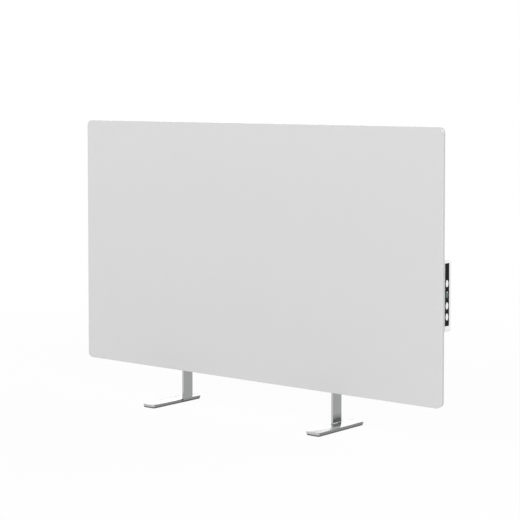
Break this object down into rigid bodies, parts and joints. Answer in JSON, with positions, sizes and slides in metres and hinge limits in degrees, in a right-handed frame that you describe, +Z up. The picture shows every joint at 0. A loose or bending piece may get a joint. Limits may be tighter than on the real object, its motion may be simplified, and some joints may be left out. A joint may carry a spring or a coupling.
{
  "type": "infrared panel heater",
  "caption": "Flat infrared panel heater with a smooth light front, standing on bent steel strip legs, with a control box and push buttons at one side.",
  "frame": {"origin": "on the floor under the middle of the panel, midway between the ends of the feet", "axes": "+X along the panel towards the control box, -Y the way the warm front looks, +Z up"},
  "size_m": [1, 0.16, 0.643],
  "materials": {
    "panel_glass": "smooth, printed light grey-white on its back, polished edge",
    "seal_silicone": "matt silicone bead",
    "casing_steel": "fine powder coat, light grey",
    "film": "amber polyimide sheet",
    "track": "etched alloy foil",
    "copper": "bare copper strip",
    "insulation": "needled fibre blanket",
    "rail_steel": "fine powder coat, light grey",
    "leg_steel": "bent strip, satin, polished face",
    "zinc_steel": "bright zinc",
    "rivet_aluminium": "bare, formed head",
    "pad_rubber": "matt, ribbed underneath",
    "grommet_rubber": "matt",
    "cover_plastic": "white moulding, fine spark texture",
    "base_plastic": "white moulding",
    "fascia_plastic": "high gloss black",
    "button_white": "white, satin gloss",
    "button_dark": "dark smoked grey-green",
    "lens_clear": "clear light guide",
    "board_green": "solder resist",
    "component_black": "moulded case",
    "component_white": "moulded case",
    "terminal_plastic": "moulded terminal block",
    "fuse_glass": "tube with metal caps",
    "wire_red": "silicone insulation",
    "wire_white": "silicone insulation",
    "sensor_epoxy": "dipped bead",
    "gland_plastic": "light grey nylon"
  },
  "bodies": {
    "heater": {"front_glass": "panel_glass", "edge_seal": "seal_silicone", "heating_film": "film", "heating_track": "track", "bus_bars": "copper", "insulation_blanket": "insulation", "rear_casing": "casing_steel", "thermal_cutout": "component_black", "temperature_sensor": "sensor_epoxy", "heater_leads": "wire_red", "sensor_lead": "wire_white", "lead_grommet": "grommet_rubber", "left_rail": "rail_steel", "right_rail": "rail_steel", "rail_rivets": "rivet_aluminium", "left_leg": "leg_steel", "right_leg": "leg_steel", "left_foot_pad": "pad_rubber", "right_foot_pad": "pad_rubber", "leg_screws": "zinc_steel", "leg_washers": "zinc_steel", "leg_nuts": "zinc_steel", "control_base": "base_plastic", "base_rivets": "rivet_aluminium", "control_cover": "cover_plastic", "cover_screws": "zinc_steel", "button_fascia": "fascia_plastic", "button_board": "board_green", "button_switches": "component_black", "power_board": "board_green", "board_screws": "zinc_steel", "relay": "component_black", "supply_module": "component_white", "heater_terminal": "terminal_plastic", "mains_terminal": "terminal_plastic", "mains_fuse": "fuse_glass", "tilt_switch": "component_white", "gland_body": "gland_plastic", "gland_dome_nut": "gland_plastic", "gland_locknut": "gland_plastic"},
    "mode_button": {"mode_button": "button_white"},
    "power_button": {"power_button": "button_dark", "indicator_lens": "lens_clear"},
    "plus_button": {"plus_button": "button_white"},
    "minus_button": {"minus_button": "button_white"}
  },
  "joints": [
    {"name": "mode_press", "type": "slide", "parent": "heater", "child": "mode_button", "axis": [-1, 0, 0], "range_m": [0, 0.0006], "stiffness_N_per_m": 800},
    {"name": "power_press", "type": "slide", "parent": "heater", "child": "power_button", "axis": [-1, 0, 0], "range_m": [0, 0.0006], "stiffness_N_per_m": 800},
    {"name": "plus_press", "type": "slide", "parent": "heater", "child": "plus_button", "axis": [-1, 0, 0], "range_m": [0, 0.0006], "stiffness_N_per_m": 800},
    {"name": "minus_press", "type": "slide", "parent": "heater", "child": "minus_button", "axis": [-1, 0, 0], "range_m": [0, 0.0006], "stiffness_N_per_m": 800}
  ]
}
